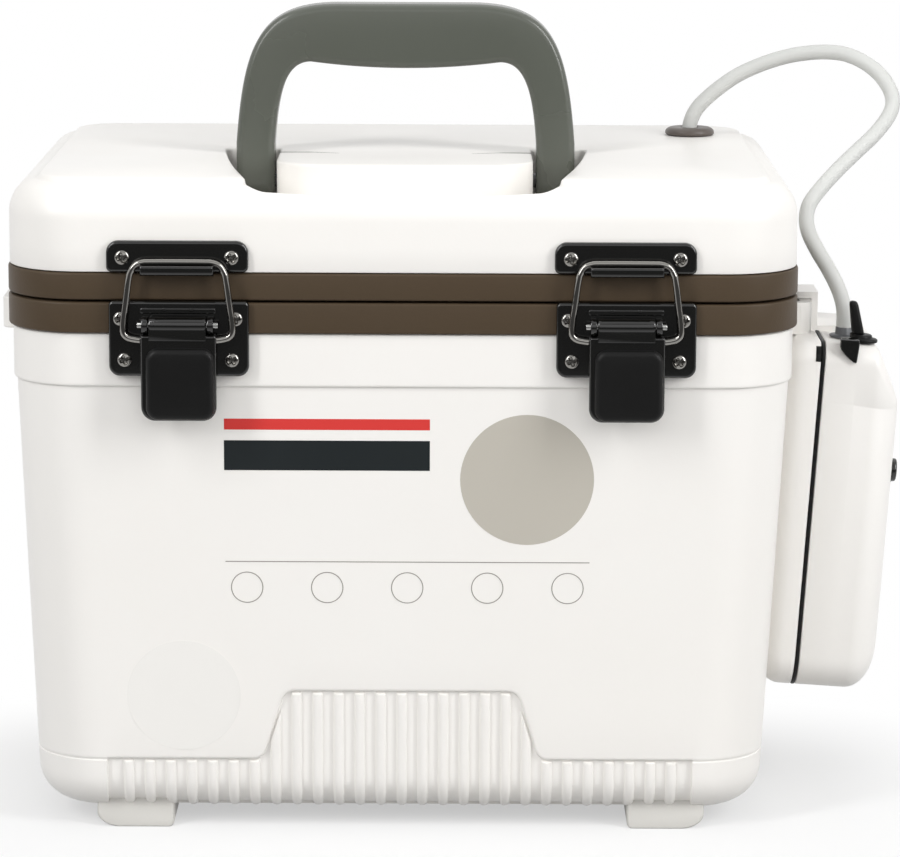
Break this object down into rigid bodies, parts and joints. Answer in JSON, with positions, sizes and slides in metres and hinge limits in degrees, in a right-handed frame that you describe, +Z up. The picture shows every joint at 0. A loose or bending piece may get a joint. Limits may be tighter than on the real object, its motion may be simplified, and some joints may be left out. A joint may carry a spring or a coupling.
{
  "type": "aerated bait bucket",
  "caption": "Small insulated box with a gasketed hinged lid, folding carry handle, over-centre latches and a side-hung battery air pump with a hose into the lid.",
  "frame": {"origin": "middle of the part's footprint with the hose left out, on the plane of the feet", "axes": "+Z up, +X to the right along the longest side towards the pump, -Y the front with the latches"},
  "size_m": [0.3568, 0.2296, 0.3096],
  "materials": {
    "white_plastic": "satin white moulded plastic",
    "liner_plastic": "smooth white moulded plastic",
    "foam": "rigid foam",
    "brown_rubber": "satin brown rubber",
    "handle_plastic": "glossy grey-green plastic",
    "black_plastic": "glossy black plastic",
    "black_rubber": "soft black rubber",
    "grey_rubber": "soft grey-brown rubber",
    "steel": "polished stainless steel",
    "hose_vinyl": "milky clear soft vinyl",
    "barb_plastic": "grey moulded plastic",
    "cell_jacket": "printed battery jacket",
    "motor_steel": "dull steel can",
    "stone_grain": "porous sintered grit"
  },
  "bodies": {
    "tub": {"tub_shell": "white_plastic", "tub_liner": "liner_plastic", "tub_insulation": "foam", "tub_rim_band": "brown_rubber", "foot_front_left": "white_plastic", "foot_front_right": "white_plastic", "foot_rear_left": "white_plastic", "foot_rear_right": "white_plastic", "strap_lug_left": "white_plastic", "strap_lug_right": "white_plastic", "latch_base_left": "black_plastic", "latch_base_right": "black_plastic", "latch_pin_left": "steel", "latch_pin_right": "steel", "hinge_tub_leaf_left": "white_plastic", "hinge_tub_leaf_right": "white_plastic", "hinge_pin_left": "steel", "hinge_pin_right": "steel", "pump_back_case": "white_plastic", "pump_front_case": "white_plastic", "pump_gasket": "black_rubber", "pump_hose_barb": "barb_plastic", "pump_cell_front": "cell_jacket", "pump_cell_rear": "cell_jacket", "pump_motor": "motor_steel", "pump_case_latch": "black_plastic", "pump_toggle_seat": "black_rubber", "pump_hanger": "white_plastic", "inner_hose": "hose_vinyl", "air_stone": "stone_grain"},
    "lid": {"lid_shell": "white_plastic", "lid_insulation": "foam", "lid_liner": "liner_plastic", "lid_gasket": "grey_rubber", "lid_rim_band": "brown_rubber", "lid_grommet": "grey_rubber", "latch_catch_left": "black_plastic", "latch_catch_right": "black_plastic", "hinge_lid_leaf_left": "white_plastic", "hinge_lid_leaf_right": "white_plastic", "handle_pin_left": "steel", "handle_pin_right": "steel", "air_hose": "hose_vinyl"},
    "handle": {"handle": "handle_plastic"},
    "lever_left": {"latch_lever_left": "black_plastic", "latch_pad_left": "black_rubber"},
    "lever_right": {"latch_lever_right": "black_plastic", "latch_pad_right": "black_rubber"},
    "bail_left": {"latch_bail_left": "steel"},
    "bail_right": {"latch_bail_right": "steel"},
    "toggle": {"pump_toggle": "black_rubber"},
    "knob": {"pump_knob": "black_plastic"}
  },
  "joints": [
    {"name": "lid_hinge", "type": "hinge", "parent": "tub", "child": "lid", "pos_m": [-0.01755, 0.1116, 0.20655], "axis": [-1, 0, 0], "range_deg": [0, 95]},
    {"name": "handle_pivot", "type": "hinge", "parent": "lid", "child": "handle", "pos_m": [-0.01755, -0.0054, 0.2401], "axis": [1, 0, 0], "range_deg": [0, 88]},
    {"name": "latch_lever_left", "type": "hinge", "parent": "tub", "child": "lever_left", "pos_m": [-0.10055, -0.1089, 0.1985], "axis": [-1, 0, 0], "range_deg": [0, 115]},
    {"name": "latch_lever_right", "type": "hinge", "parent": "tub", "child": "lever_right", "pos_m": [0.06545, -0.1089, 0.1985], "axis": [-1, 0, 0], "range_deg": [0, 115]},
    {"name": "latch_bail_left", "type": "hinge", "parent": "lever_left", "child": "bail_left", "pos_m": [-0.10055, -0.108, 0.1929], "axis": [-1, 0, 0], "range_deg": [-100, 0]},
    {"name": "latch_bail_right", "type": "hinge", "parent": "lever_right", "child": "bail_right", "pos_m": [0.06545, -0.108, 0.1929], "axis": [-1, 0, 0], "range_deg": [-100, 0]},
    {"name": "pump_toggle", "type": "hinge", "parent": "tub", "child": "toggle", "pos_m": [0.15866, -0.0349, 0.18408], "axis": [0, 1, 0], "range_deg": [0, 15]},
    {"name": "pump_knob", "type": "hinge", "parent": "tub", "child": "knob", "pos_m": [0.17384, -0.0174, 0.12598], "axis": [0.9979, 0, -0.0645], "continuous": true}
  ],
  "couplings": [
    {"joint": "latch_bail_left", "follows": "latch_lever_left", "ratio": -0.865},
    {"joint": "latch_bail_right", "follows": "latch_lever_right", "ratio": -0.865}
  ]
}
